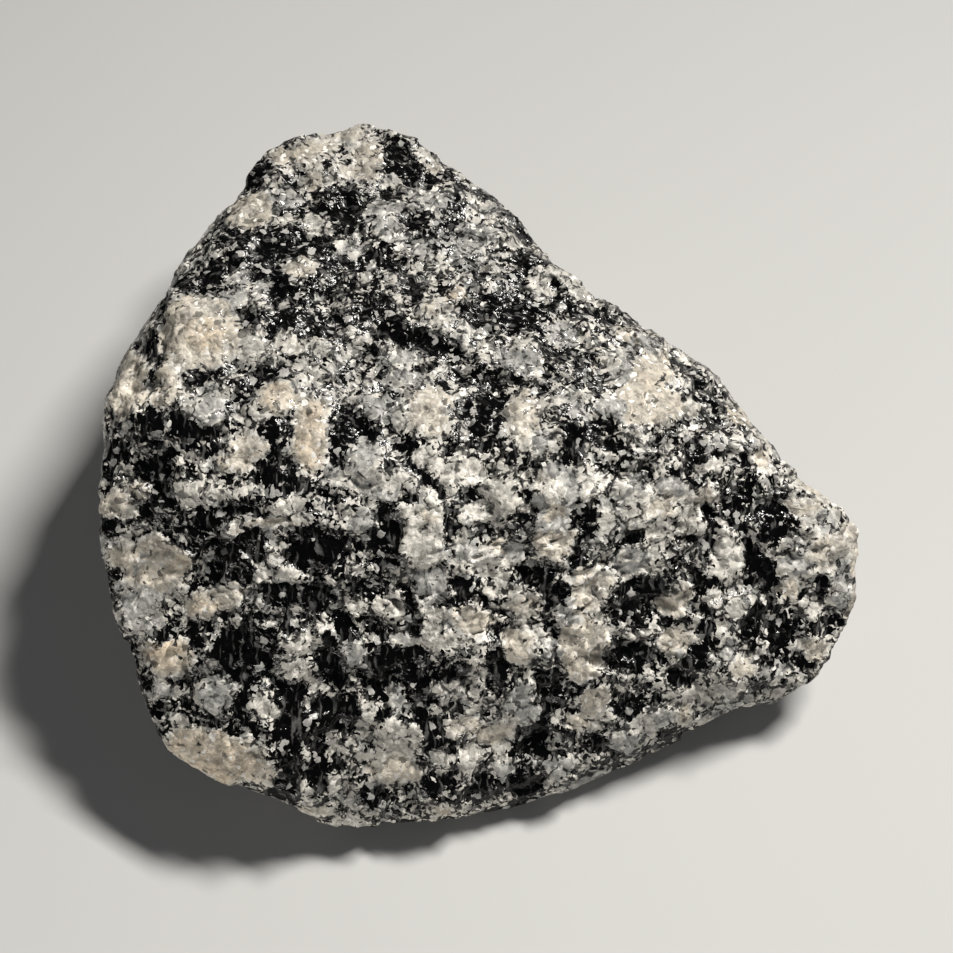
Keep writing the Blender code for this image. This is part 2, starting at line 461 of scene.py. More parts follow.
# %% [markdown]
# ## Where each mineral lies
# The rock is faintly layered: its black mica lies in torn bands that slant across the top and run straight
# down the front slope. One tilted plane is taken for both, and it is called the layering below. On top, the
# patches that catch the eye are laid as ovals on an imaginary sheet that leans back by 18 degrees, so that
# the front slope gets its share of the sheet. They were read off by eye, and a separate calculation turned
# what was read into millimetres on the sheet. Their outlines are torn by noise later.
# The two lists at the end hold broad zones that are lighter or darker as a whole. They draw no patch of
# their own: they shift the share of mica in and between the patches, and the lighter ones also whiten the
# feldspar, which is painted light. They are corrections, added where a stretch of the stone came out too
# bright or too dark.

# %% Patches of feldspar, quartz and mica: (across, up the sheet, half length, half width, turn in degrees)
WHITE_FELDSPAR = (
    (-20, 28.5, 1.6, 0.9, 0), (-17, 28.5, 1.6, 1.5, 0), (-16, 19, 0.8, 0.6, 0),
    (-22.5, 15, 1.8, 1.7, 0), (-19, 15, 2.2, 1.7, 0), (-15.5, 15, 1.2, 1.2, 0),
    (-1.5, 34, 2.4, 0.5, -40), (-5, 32.5, 1, 0.5, 0), (3.5, 26.5, 2.9, 0.6, -25),
    (-8, 20.5, 1, 1.3, 0), (6.5, 23, 1.8, 0.9, 0), (5.5, 21, 1.4, 1.1, 0), (10, 21, 2.6, 0.8, -35),
    (0, 14.5, 1.6, 0.8, 0), (-4, 17, 1.6, 1, 0), (-28.5, -0.5, 1.6, 1.4, 0), (-26, 0, 1.4, 0.8, 0),
    (-30.5, -2, 1.4, 0.3, -50), (-18.5, -2, 1.2, 1, 0), (-18.5, -8.5, 1.9, 0.8, 0),
    (-5.5, 3.5, 1.3, 1, 0), (-2, 2, 2.7, 1.8, 0), (1.5, -0.5, 1.9, 1.6, 0), (-5.5, -4.5, 2.1, 3.8, 0),
    (10.5, 0.5, 1.3, 1, 0), (11.5, -3.5, 1, 1.4, 0), (2, -9, 0.8, 1.4, 0), (-8.5, -11.5, 1, 1.4, 0),
    (19.5, 9, 1.5, 0.8, 0), (22, 2, 1, 0.8, 0), (20.5, -2.5, 1.4, 2.3, 0), (17.5, -4.5, 1.6, 1.4, 0),
    (22.5, -8.5, 0.8, 0.8, 0), (30.5, -6, 0.5, 0.5, 0), (-24, -14, 0.6, 0.8, 0),
    (-20.5, -13.5, 0.6, 0.6, 0), (-17.5, -16, 1.7, 1.5, 0), (-18, -18.5, 1.8, 1, 0),
    (-21, -22.5, 1.2, 2.3, 0), (-15, -20.5, 0.8, 1, 0), (-15, -27, 0.6, 1.2, 0),
    (-14, -30.5, 0.7, 1, 0), (-17, -27.5, 0.6, 0.6, 0), (-18.5, -29.5, 0.6, 0.6, 0),
    (-17, -31, 1, 0.8, 0), (-9, -12.5, 1.4, 2, 0), (-12, -12, 1.2, 1, 0), (-5, -13.5, 1.2, 1.4, 0),
    (-3.5, -15.5, 2.7, 0.8, 0), (-4, -20.5, 1.2, 0.8, 0), (-4.5, -23, 0.8, 0.6, 0),
    (-1, -28, 1.2, 1.5, 0), (-4.5, -28, 1.6, 0.5, -25), (7, -26.5, 1, 0.8, 0),
    (-8, -32.5, 0.6, 0.6, 0), (15.5, -15, 2, 0.6, 0), (25, -12, 0.8, 1.7, 0), (27.5, -12, 0.6, 0.8, 0),
    (32.5, -13, 1.2, 1.1, 0), (21, -21.5, 1.4, 0.8, 0), (27, -22.5, 0.8, 0.9, 0),
    (29, -22, 1.2, 0.6, 0), (-5.5, 37, 1.5, 1, 0), (-3.5, 23.5, 1.1, 0.8, 0), (-13.5, 19, 0.8, 0.6, 0),
    (-15, 26, 1, 0.5, 0), (4.5, 14.5, 1.8, 0.9, 0), (-8, -26, 2.4, 2.3, 0), (-9.5, 22.5, 0.8, 0.6, 0),
    (-12, 22, 0.6, 0.6, 0), (-1, -2.5, 1, 0.8, 0), (7, 0.5, 1.3, 1.2, 0), (24, -7, 1.5, 2.3, 0),
    (22, 2.5, 1, 0.8, 0), (15.5, -1, 1.6, 1.4, 0), (0.5, -7, 0.8, 1.2, 0), (-3, -1, 1, 0.8, 0),
    (-10.5, 1, 3.7, 1.1, 0), (0.5, -10, 0.7, 0.9, 0), (2, -2, 1.3, 1, 0), (0.5, -2.5, 1.5, 0.9, 0),
    (4, -1.5, 0.7, 0.7, 0),
)

CREAM_FELDSPAR = (
    (-28, 16.5, 4.5, 4.2, 0), (-18.5, 37, 4.2, 1.5, 15), (-17.5, 33.5, 1.3, 2.4, 0),
    (-23.5, 30, 2.9, 2.4, 0), (-18, 23.5, 1.8, 1.7, 0), (-14, 39.5, 2.7, 1.1, 0),
    (-12, 35.5, 1.9, 2.8, 0), (-5, 19, 1.4, 1, 0), (-35, 11, 1.8, 3.7, 0), (-31, 10.5, 2, 2.3, 0),
    (-22.5, 4.5, 1.9, 1.8, 0), (-24, 2.5, 1.7, 1.4, 0), (-36, -1.5, 2, 1.9, 0), (-33, 0, 1.2, 1.2, 0),
    (-20.5, -3.5, 3.4, 0.8, 0), (-23.5, -4, 1, 0.6, 0), (-32, -8, 3.7, 3.1, 0), (-36, -7, 1.6, 1.5, 0),
    (-25, -11, 2.4, 1.2, 0), (-5, 8, 2.7, 2.9, 0), (4, 7.5, 1.9, 3.3, 0), (7, -5.5, 2.1, 1.8, 0),
    (4.5, -12, 1.7, 1.4, 0), (16, 9, 3.9, 2.6, 0), (15.5, 11, 2.4, 3.1, 0), (32, 0.5, 3.6, 0.6, -45),
    (17, -2, 2.1, 1.4, 0), (33.5, -6.5, 1.6, 2.1, 0), (37, -7.5, 1.2, 4.3, 0),
    (19.5, -11, 1.2, 1.2, 0), (31.5, -2, 1.8, 1.3, 0), (-21.5, -29, 2.2, 1.5, -15),
    (-17, -34, 2.2, 0.6, 0), (-1, -13.5, 2.1, 1.6, 0), (3.5, -16, 1.8, 1.6, 0),
    (-8.5, -29.5, 2.8, 1.7, 0), (-1.5, -24.5, 2.2, 1.7, 0), (1.5, -25.5, 1.8, 1.3, 0),
    (11, -22, 1.6, 1.7, 0), (10, -24.5, 1.4, 1.1, 0), (18.5, -12, 1.8, 1.5, 0), (37, -13.5, 1, 3.2, 0),
    (25.5, -19, 1.4, 1.3, 0), (-5, 35, 1.3, 0.7, 0), (14.5, 16, 2.3, 0.5, -38), (-14, 35, 1.5, 0.9, 0),
    (10, -16, 2.6, 3.7, 0), (10.5, -10, 2.1, 2.5, 0), (19, -16, 1.8, 1.5, 0), (33, -17, 1.6, 1.3, 0),
    (4, -12.5, 1.9, 1.2, 0), (21.5, -1, 1.4, 1.2, 0), (36, -4.5, 1.2, 3.2, -20), (2, -5.5, 1.2, 1, 0),
    (17, 13, 2.2, 1.7, -30), (26, 8, 1.2, 1.9, -40), (7, -2.5, 1.6, 1.5, 0),
)

TAN_FELDSPAR = (
    (-27.5, 16, 2.6, 2.3, 0), (-19, 36.5, 1.9, 0.7, 15), (-2.5, 20.5, 1.2, 1.1, 0),
    (-19.5, 9.5, 2.1, 1.8, 0), (-16.5, 5.5, 2.1, 4.3, 0), (-29.5, -8, 1.8, 1.4, 0),
    (-5, -3, 0.7, 0.7, 0), (24.5, 8, 1.9, 1, -45), (27, 3, 1, 1.5, 0), (30, -10.5, 1.2, 1.5, 0),
    (-27.5, -12, 2, 1.4, 0), (-30.5, -17, 2.8, 2.1, 0), (-26, -27.5, 5.5, 2.9, -15),
    (-4, -34, 1.4, 0.6, 0), (33.5, -20.5, 1.4, 0.9, 0), (20, -24, 0.8, 1.5, 0),
)

GREY_QUARTZ = (
    (-23.5, 21, 2.4, 1.9, 0), (-10, 30.5, 2.1, 1.5, 0), (-5.5, 30.5, 2.1, 1.5, 0),
    (-1, 27, 2.3, 1.7, 0), (-1.5, 25, 2, 2.1, 0), (-9, 28, 2, 1.5, 0), (-8, 14, 2, 1.2, 0),
    (-27, 9, 2.4, 2.3, 0), (-10.5, 8.5, 1.5, 1.4, 0), (-8, 11.5, 2, 1.4, 0), (4, 13, 2, 1.2, 0),
    (-10, 0.5, 2.4, 1.4, 0), (7, -1, 1.9, 3.5, 0), (3, -6.5, 1.4, 1.8, 0), (-1.5, -6.5, 1.2, 1.4, 0),
    (-5, -9.5, 1.7, 2, 0), (-11.5, -3, 1.3, 1.2, 0), (-11.5, 3, 1.7, 1.4, 0),
    (13.5, 12.5, 1.4, 2.1, 0), (22, 4.5, 1.2, 1, 0), (14.5, 0, 1.4, 1.4, 0), (14.5, -7.5, 1.8, 1.4, 0),
    (30.5, -8, 1.8, 1.3, 0), (-33.5, -12.5, 2.4, 2.6, 0), (-31.5, -21, 1.4, 1, 0),
    (-26, -21, 2.5, 1.7, 0), (-16.5, -22, 0.7, 0.7, 0), (-7.5, -15.5, 1.8, 0.8, 0),
    (-12.5, -16.5, 1.4, 1.4, 0), (6.5, -16.5, 0.8, 0.8, 0), (4, -22, 2, 2.3, 0), (-8, -22, 1, 1.7, 0),
    (2, -29, 1.2, 0.8, 0), (8, -29.5, 2, 0.8, 0), (10, -31.5, 2.1, 0.9, 25), (24, -16, 1, 1.9, 0),
    (24.5, -21.5, 1.2, 1.1, 0), (17, -24.5, 2, 1.5, 0), (14, -26.5, 1.4, 1.3, 0),
    (23, -24, 2.9, 0.3, 25), (-6, 25.5, 2.2, 1.1, 0), (-13.5, 25.5, 1.6, 0.9, 0),
    (-10.5, 23.5, 1, 0.6, 0), (13, 14, 1.6, 1, 0), (5.5, 4.5, 1.5, 1.1, 0), (-19.5, 31, 1.5, 1.1, 0),
    (-13.5, 33, 1.7, 0.9, 0), (8, 16.5, 1.4, 1, 0), (8.5, -13, 1.2, 1.2, 0), (18, 0, 1.8, 1.4, 0),
    (28, -17, 1, 0.8, 0), (35.5, -10.5, 1.4, 2.6, 0), (12.5, 9, 1.6, 1.6, 0), (16, 15, 2.4, 0.8, -35),
)

BLACK_MICA = (
    (-15.5, 31, 1.9, 1.5, 0), (-18.5, 26, 2.5, 1.3, -10), (-22, 25, 1.6, 0.9, 30),
    (-24, 24.5, 1.6, 0.9, 30), (-26.5, 23.5, 1.4, 0.8, 30), (-20.5, 21.5, 2.3, 1.2, -60),
    (-28, 21.5, 2.4, 0.6, -15), (-31.5, 18.5, 0.7, 0.8, 0), (-23, 17.5, 1.8, 1, 0),
    (-18, 17.5, 4, 1, 0), (-6, 34, 2.1, 0.7, -20), (-2.5, 30.5, 0.6, 2.2, 0), (-6.5, 29, 1.4, 0.9, 0),
    (-5.5, 27.5, 0.6, 0.5, 0), (-4, 25.5, 1.6, 0.3, -20), (-11, 25.5, 1.4, 0.6, 0),
    (-9.5, 23.5, 1.4, 1.1, 0), (-7, 21, 1, 1.3, 0), (-11, 19, 2.5, 1, 0), (-8, 16.5, 2.8, 1.2, -15),
    (-5, 15, 3, 0.9, -25), (2, 18.5, 4, 2.3, -10), (4.5, 24.5, 2.6, 0.9, -10),
    (11.5, 18, 1.8, 0.6, -15), (-3.5, 21, 0.7, 0.6, 0), (-13, 30, 0.8, 1.7, 0), (-32, 7, 1, 2.3, 0),
    (-28.5, 6, 2.1, 1.4, 0), (-36.5, 4, 1.4, 1, 0), (-34.5, 4, 0.6, 0.6, 0), (-32, 2, 2, 1.4, 50),
    (-31, -1, 2.6, 1, -45), (-37, 2, 0.6, 1.9, 0), (-37, -4, 1, 1, 0), (-27.5, -3, 2.1, 1, 0),
    (-23.5, -2, 1.9, 1, 0), (-24.5, -7, 2.5, 2.5, 0), (-22.5, -5.5, 1.4, 1.8, 0),
    (-16, -6, 2.7, 2.4, 0), (-18, -10.5, 2.9, 1.4, 0), (-20, 6.5, 1.2, 1.4, 0), (-20, 2, 1.3, 1, 0),
    (-17.5, 0, 1.9, 0.7, -20), (-13.5, 6.5, 1, 2.4, 0), (-21.5, 12, 2.4, 0.8, 20),
    (-24, 9.5, 1.5, 0.6, 0), (-27.5, 11.5, 0.8, 1.4, 0), (-32, 11.5, 0.8, 1.2, 0), (-1, 11.5, 2, 1, 0),
    (0.5, 9, 2.1, 1.4, 0), (0.5, 6, 1.3, 2.2, 0), (2, 11.5, 1.6, 0.5, 0), (4.5, 10, 1.4, 1, 0),
    (-3.5, 10.5, 0.8, 1, 0), (-7, 4.5, 2.1, 0.4, -8), (-3.5, 3.5, 1.7, 0.3, 0),
    (-0.5, 2.5, 2.3, 0.4, -35), (-5, 1, 1.8, 0.5, -40), (-4.5, -1, 3.4, 0.4, 0),
    (-10.5, 6.5, 1.9, 0.4, 0), (-12, 6.5, 0.8, 1.4, 0), (-9, -5, 1.3, 4.4, 0),
    (-11, -10.5, 1.7, 1.4, 0), (-7, -11, 1, 1.6, 0), (4, -1, 1.2, 0.6, 0), (4.5, -2.5, 0.6, 0.8, 0),
    (3, -4.5, 1, 0.8, 0), (5, -6, 1, 0.6, 0), (5, -8.5, 2.1, 1, 0), (7.5, -10.5, 1.9, 1, 0),
    (9, -7, 1.2, 1.6, 0), (9.5, -2.5, 1, 0.8, 0), (10.5, -4.5, 0.6, 0.6, 0), (8.5, 5.5, 1, 1.6, 0),
    (10.5, 6, 1.7, 0.8, 0), (11.5, 4.5, 0.6, 0.6, 0), (12, 2, 0.6, 0.6, 0), (4.5, 4, 1.2, 0.5, 0),
    (-3, -3.5, 0.4, 2, 0), (19, 14, 1.8, 0.4, -30), (18.5, 10.5, 1.6, 0.4, -30), (21.5, 10, 1, 1, 0),
    (22.5, 7, 1.8, 1, -20), (25, 7, 0.6, 0.6, 0), (21, 4, 1.6, 0.8, 0), (12.5, 5.5, 0.8, 1.8, 0),
    (15.5, 6.5, 0.6, 0.6, 0), (26, 1.5, 2.3, 0.4, -75), (22, -2.5, 0.8, 2.5, 0), (22, -6, 0.6, 2.1, 0),
    (14.5, -5, 1, 0.8, 0), (20, -5, 1, 0.6, 0), (26.5, -7.5, 0.8, 2.5, 0), (28, -9, 0.8, 1.7, 0),
    (16.5, -10.5, 2.2, 1, 0), (21, -10, 1, 1, 0), (-23, -17, 3.4, 3.1, 0), (-31, -14.5, 1, 1.2, 0),
    (-35.5, -15, 0.5, 3.1, 0), (-33, -20.5, 0.8, 0.6, 0), (-32, -23, 1.4, 0.5, 0),
    (-28, -16.5, 0.4, 1.2, 0), (-18.5, -23, 1.6, 3.9, 0), (-14.5, -18, 1.2, 2.3, 0),
    (-15.5, -23.5, 1.6, 2.1, 0), (-19, -29.5, 1.2, 2.1, 0), (-16, -29, 1, 2.1, 0),
    (-20, -32, 1.4, 0.8, 0), (-23.5, -22, 1, 1.4, 0), (-17.5, -11, 2.9, 1.2, 0),
    (-7.5, -18, 2.3, 2.7, 0), (-5.5, -21.5, 1.2, 2.1, 0), (-10, -14, 1.4, 0.8, 0),
    (-7, -13, 0.5, 0.8, 0), (1.5, -18, 1.2, 3.1, 0), (6.5, -21, 1.4, 2.7, 0), (5, -26, 2.2, 2.1, 0),
    (-5, -25.5, 1, 1.9, 0), (-5, -31, 2.2, 1, 0), (-11, -32, 1.4, 1.3, 0), (0, -32, 2, 1.1, 0),
    (4, -31, 2, 1.3, 0), (11.5, -27, 1.4, 1.1, 0), (14, -17, 2.2, 1.5, 0), (19.5, -20, 1.4, 1.3, 0),
    (22, -14.5, 0.8, 1.7, 0), (26.5, -14, 0.8, 1.5, 0), (29.5, -15.5, 1.6, 2.1, 0),
    (28.5, -17.5, 1.4, 1.3, 0), (32, -18.5, 0.8, 1.1, 0), (14.5, -12.5, 2, 1.2, 0),
    (14, -22.5, 1, 1.5, 0), (27.5, -21, 0.5, 1.3, 0), (19, -26, 1.4, 0.3, 20), (-9.5, 37, 1.3, 0.9, 0),
    (-8.5, 35, 1.5, 0.9, 0), (-5.5, 33.5, 1.5, 0.3, -10), (-19, 33.5, 1, 0.4, 0),
    (-24, 32.5, 2.8, 0.3, 55), (-4, 25.5, 1.8, 0.3, -28), (-9.5, 32, 0.8, 0.5, 0),
    (-13.5, -23, 1.4, 2.1, 0), (-10.5, -19, 1.4, 1.9, 0), (-22, 26.5, 3.1, 1.4, -8),
    (-13.5, -14.5, 0.8, 1.4, 0), (9, -5, 0.7, 1.4, 0), (6.5, -11.5, 0.5, 1.8, 0),
    (2, -14.5, 0.5, 1.6, 0), (15, -11, 1.8, 1.4, 0), (26, 0.5, 0.7, 1.7, 0),
    (20.5, -17.5, 1.3, 1.2, 0), (-32, -0.5, 2, 0.7, -45), (-28.5, -4, 1.6, 0.8, -30),
    (-6, 2.5, 2, 0.4, -50), (1, 2, 1.6, 0.3, -45), (-15.5, 24, 1.1, 1.4, 0),
    (-14.5, 29.5, 1.4, 1.3, 0), (-23, 25.5, 1.1, 0.9, 0), (-22, 22.5, 1.3, 0.7, 0),
    (-21, 19.5, 0.7, 1.4, 0), (3, 3.5, 1.2, 0.4, 0), (8, 4, 0.8, 1, 0),
)

SMOKY_QUARTZ = (
    (-1.5, -10.5, 1.2, 1.6, 0), (25, -1, 1.2, 2.9, 0), (28, -2.5, 1.6, 3.1, 0), (-3, -18.5, 2, 1.2, 0),
    (33, -10, 0.8, 0.8, 0),
)

LIGHTER_ZONES = (
    (-34, 7, 3.7, 2.9, 0), (2, -1, 14.4, 6.5, 0), (-14.5, 0, 7.7, 2.6, 0), (24.5, 0, 5.9, 5.2, 0),
    (33, -3.5, 3, 4.2, 0), (-11.5, 26.5, 4.1, 3.6, 0), (-2.5, -32, 4.4, 2.5, 0),
    (20.5, 11, 4.4, 3.1, -30), (0, -7.5, 15.9, 3.5, 0),
)

DARKER_ZONES = (
    (-4, 17.5, 4.8, 3.3, 0), (6.5, 18, 5.4, 3.1, -25), (14.5, 18.5, 2.7, 1.7, -40),
    (-18, 16, 4.5, 3.7, 0), (-18.5, 9, 3.5, 2.7, 0), (-10, 9, 4.5, 3.1, 0), (21.5, -16.5, 2.6, 3.6, 0),
    (-22.5, -7, 5.8, 6.1, 0), (-10, -17.5, 5.9, 6.2, 0), (-28.5, 5, 4.9, 3.1, 0),
    (-25.5, -27, 6, 2.5, -15), (-23.5, -13.5, 5.9, 7.2, 0), (-14.5, -30, 4.4, 2.7, 0),
    (-19.5, 26.5, 4.7, 4.1, 0), (20.5, -17, 4, 3.6, 0), (-19, -26, 4.9, 6.2, 0), (4.5, -31.5, 4, 3, 0),
    (-3.5, -23.5, 3.3, 3.3, 0),
)

PATCHES = {
    "white": WHITE_FELDSPAR, "cream": CREAM_FELDSPAR, "tan": TAN_FELDSPAR,
    "grey": GREY_QUARTZ, "mica": BLACK_MICA, "smoky": SMOKY_QUARTZ,
}
print("patches:", sum(map(len, PATCHES.values())), "zones:", len(LIGHTER_ZONES) + len(DARKER_ZONES))

# %% [markdown]
# Each kind of patch becomes a number at every vertex: how far inside the nearest patch of that kind the
# vertex lies, in millimetres. Where no patch reaches, and on the sides and underneath, torn bands along the
# layering take over. The back left gets more mica than chance would give it. Four numbers are kept for the
# material: dark (above 0 is mica), warm (0 is white, 1 is tan), pale (below 0 is glassy quartz) and a fourth
# that is painted light and painted shade. It makes the feldspar whiter on the front and left slopes, which
# turn away from the key panel, and darker on the top and at the back right, which face it. It is nothing
# seen on a stone. It is a correction that works against this lesson's key panel, along the panel's compass
# angle, because the sides came out with too much difference between them. Slopes that are too steep could
# be the real cause. Under other lamps, begin with the fourth number set to one even value. The same number
# says how firmly the patches hold and where the fibres stand upright, so those change with it.

# %% Mineral numbers
SHEET_LEAN = 1 / math.tan(CAMERA_ELEVATION)
SHEET_FACING = np.array([0, -math.cos(CAMERA_ELEVATION), math.sin(CAMERA_ELEVATION)])
LAYERING = np.array([0.39, 0.56, -0.73])
LAYERING = LAYERING / np.linalg.norm(LAYERING)
LAMPWARD = np.array([math.cos(math.radians(KEY_AZIMUTH)), math.sin(math.radians(KEY_AZIMUTH)), 0])
ZONE_EDGE = 1.5
ZONE_MICA = 0.4
# Painted light: how much further the lighter zones whiten the feldspar.
ZONE_PAINTED_LIGHT = 0.22
BACK_MICA = 0.5


def inside(across, up, patches):
    """How deep inside the nearest oval: its smaller half size times one less the oval's own distance."""
    depth = np.full(len(across), -3.0)
    for x, y, long, wide, turn in patches:
        c, s = math.cos(math.radians(turn)), math.sin(math.radians(turn))
        along = ((across - x) * c + (up - y) * s) / long
        aside = ((up - y) * c - (across - x) * s) / wide
        depth = np.maximum(depth, min(long, wide) * (1 - np.hypot(along, aside)))
    return depth


def smooth_step(value, low, high):
    """0 below low, 1 above high, and a soft S between."""
    part = np.clip((value - low) / (high - low), 0, 1)
    return part * part * (3 - 2 * part)


def mineral_numbers(points, normals):
    """dark, warm, pale, and the painted light and shade of the feldspar, at every point."""
    torn = points + 0.55 * np.stack([soft_noise(points, 1.5, 11 + k) for k in range(3)], axis=-1)
    torn = torn + 0.3 * np.stack([soft_noise(points, 0.7, 21 + k) for k in range(3)], axis=-1)
    across, up = torn[:, 0], torn[:, 1] + SHEET_LEAN * torn[:, 2]
    depth = {name: inside(across, up, rows) for name, rows in PATCHES.items()}
    light = np.max([depth[name] for name in ("white", "cream", "tan", "grey")], axis=0)
    black = np.maximum(depth["mica"], depth["smoky"])
    laid = smooth_step(normals @ SHEET_FACING, 0.1, 0.35)

    squeezed = torn + LAYERING * (torn @ LAYERING)[:, None] * 1.4
    bands = soft_noise(squeezed, 7.0, 31) + 0.8 * soft_noise(squeezed, 3.5, 32)
    bands = 1.5 * (bands + 0.5 * soft_noise(squeezed, 1.8, 33)) - 0.1
    back = smooth_step(points[:, 1], 8, 18) * smooth_step(points[:, 1], 36, 28)
    back = back * smooth_step(points[:, 0], 16, 4)
    by_hand = 1.8 * (np.clip(black, -0.7, 0.6) - np.clip(light, -0.7, 0.6))
    by_hand += 0.9 * np.exp(-((light + 0.3) / 0.25) ** 2)
    lampward = normals @ LAMPWARD
    # Painted light and painted shade: whiter feldspar where the surface turns away from the key panel, darker
    # where it faces it.
    painted_light_and_shade = 0.5 + 0.5 * smooth_step(-lampward, -0.25, 0.4) - 0.15 * smooth_step(lampward, 0.25, 0.7)
    by_hand -= (2.2 - 1.7 * painted_light_and_shade) * smooth_step(np.maximum(depth["cream"], depth["tan"]), 0.0, 0.8)
    by_hand *= 0.65 + 0.7 * painted_light_and_shade
    covered = laid * smooth_step(np.maximum(black, light), -0.5, 0.2)
    lighter = smooth_step(inside(across, up, LIGHTER_ZONES), -ZONE_EDGE, ZONE_EDGE)
    zones = smooth_step(inside(across, up, DARKER_ZONES), -ZONE_EDGE, ZONE_EDGE) - lighter
    # Painted light: the lighter zones whiten the feldspar further.
    painted_light_and_shade += ZONE_PAINTED_LIGHT * laid * lighter
    by_chance = bands + 0.35 * laid * by_hand
    dark = covered * by_hand + (1 - covered) * by_chance + laid * (BACK_MICA * back + ZONE_MICA * zones)

    cream_clouds = smooth_step(soft_noise(points, 9.0, 41) + 0.5 * soft_noise(points, 4.0, 42), 0.1, 0.7)
    tan_here = 0.85 * smooth_step(depth["tan"], -0.2, 0.6)
    warm = np.maximum(0.45 * smooth_step(depth["cream"], -0.2, 0.5), tan_here)
    warm = laid * warm + (1 - laid) * 0.7 * cream_clouds + 0.15 * laid * cream_clouds
    quartz_clouds = smooth_step(soft_noise(points, 5.0, 51) + 0.5 * soft_noise(points, 2.5, 52), 0.2, 0.6)
    pale = smooth_step(depth["white"], -0.2, 0.4) - smooth_step(depth["grey"], -0.2, 0.4)
    pale = laid * pale - (1 - laid) * 0.8 * quartz_clouds
    return dark, warm, pale, painted_light_and_shade


dark, warm, pale, painted_light_and_shade = mineral_numbers(base, facing)
print("share of mica:", round(float((dark > 0).mean()), 3), "warm:", round(float(warm.mean()), 3))

# %% [markdown]
# ## The crystals' relief
# When a rock breaks or weathers, each crystal ends in its own small face, tilted its own way, with a groove
# where it meets the next. The relief is made of that: grains in three sizes, each with a flat face at a
# chance tilt, faded out at the grain's edge. Mica is soft and wears below the rest, so dark areas are sunk.
# On the steep rim the relief is halved, as on a worn edge, and the spot that the stone lies on stays flat.

# %% Relief along the surface
MICA_SUNK = 0.2
SKIN_SUNK = 0.12
BOX_GAP = 0.02


def crystal_faces(points, size, steepness, salt):
    """The height of flat, tilted faces: a point's offset from its grain's seed, times the grain's chance
    tilt, faded to nothing in the groove between grains."""
    owner, offset, gap = grains(points, size, salt)
    tilt = 2 * np.stack([chance(owner, salt + 5 + k) for k in range(3)], axis=-1) - 1
    lift = 0.12 * size * (2 * chance(owner, salt + 9) - 1)
    return (steepness * (offset * tilt).sum(axis=-1) + lift) * smooth_step(gap, 0.0, 0.3)


def relief(points, normals, dark):
    """The height of the surface above the laid skin, in millimetres."""
    bent = points + 0.4 * np.stack([soft_noise(points, 2.0, 61 + k) for k in range(3)], axis=-1)
    height = crystal_faces(bent, 3.4, 0.12, 100) + crystal_faces(bent, 1.7, 0.14, 200)
    height += crystal_faces(bent, 0.95, 0.15, 300) + 0.03 * soft_noise(points, 0.8, 71)
    height += 0.08 * soft_noise(points, 3.0, 72)
    height -= MICA_SUNK * smooth_step(dark, -0.3, 0.6)
    height *= 1 - 0.5 * smooth_step(1 - np.abs(normals[:, 2]), 0.3, 0.7)
    rests = smooth_step(points[:, 2], 0.35, 1.6)
    return height * rests - SKIN_SUNK * rests


def fit_in_box(points):
    """Stretches or squeezes each axis by a few hundredths until the relief just fills the CAD box: smoothing
    has drawn the skin in at the stone's edges. Height counts from the table."""
    low, high = points.min(axis=0), points.max(axis=0)
    middle = np.array([(BOX_LOW[0] + BOX_HIGH[0]) / 2, (BOX_LOW[1] + BOX_HIGH[1]) / 2, 0.0])
    room_there = np.append((BOX_HIGH - BOX_LOW)[:2] / 2, BOX_HIGH[2]) - BOX_GAP
    reach = np.where(points > middle, high - middle, np.maximum(middle - low, 0.1))
    fitted = middle + (points - middle) * room_there / reach
    fitted[:, 2] = np.maximum(fitted[:, 2], 0.0)
    return fitted


base[:, 2] = np.where(base[:, 2] < 0.3, base[:, 2] * smooth_step(base[:, 2], 0.05, 0.3), base[:, 2])
height = relief(base, facing, dark)
skin_points = fit_in_box(base + facing * height[:, None])
print("relief in mm:", height.min().round(2), "to", height.max().round(2))
print("skin's box in mm:", np.ptp(skin_points, axis=0).round(2))

# %% [markdown]
# ## The finished skin
# The skin gets a UV map: the six faces of the box laid out flat, the top largest, because it is seen most.
# A map is what a picture of the finish is wrapped with when the part is used in another program.

# %% Build the skin
MAP_MARGIN = 0.004
MAP_BOXES = (
    (0.0, 0.0, 0.6, 0.6), (0.6, 0.6, 0.4, 0.4),
    (0.0, 0.6, 0.6, 0.2), (0.6, 0.0, 0.2, 0.6),
    (0.0, 0.8, 0.6, 0.2), (0.8, 0.0, 0.2, 0.6),
)


def lay_out_map(mesh, squares, sides, places):
    """Each side's two whole-number coordinates, scaled into its own box of the map with a small margin."""
    counts = np.array([TOP_SQUARES, TOP_SQUARES, SIDE_SQUARES])
    axes = np.array([(0, 1), (1, 0), (0, 2), (2, 0), (1, 2), (2, 1)])[sides]
    corner = places[squares] / counts
    pair = np.take_along_axis(corner, axes[:, None, :].repeat(4, axis=1), axis=2)
    box = np.array(MAP_BOXES)[sides][:, None, :]
    low, wide = box[..., :2], box[..., 2:]
    uv = low + (MAP_MARGIN + pair * (1 - 2 * MAP_MARGIN / wide)) * wide
    mesh.uv_layers.new(name="OFBake").data.foreach_set("uv", uv.reshape(-1))


def add_numbers(mesh, name, values):
    """One number for each vertex, under a name that a material can read."""
    mesh.attributes.new(name, "FLOAT", "POINT").data.foreach_set("value", values.astype(np.float32))


skin_mesh = write_mesh("granodiorite_skin", skin_points, squares)
lay_out_map(skin_mesh, squares, sides, places)
for name, values in (("dark", dark), ("warm", warm), ("pale", pale), ("painted_light_and_shade", painted_light_and_shade)):
    add_numbers(skin_mesh, name, values)
skin_mesh.polygons.foreach_set("use_smooth", np.ones(len(squares), dtype=bool))
skin = bpy.data.objects.new("granodiorite_skin", skin_mesh)
bpy.context.scene.collection.objects.link(skin)
print("skin made:", len(skin_mesh.vertices), "vertices")
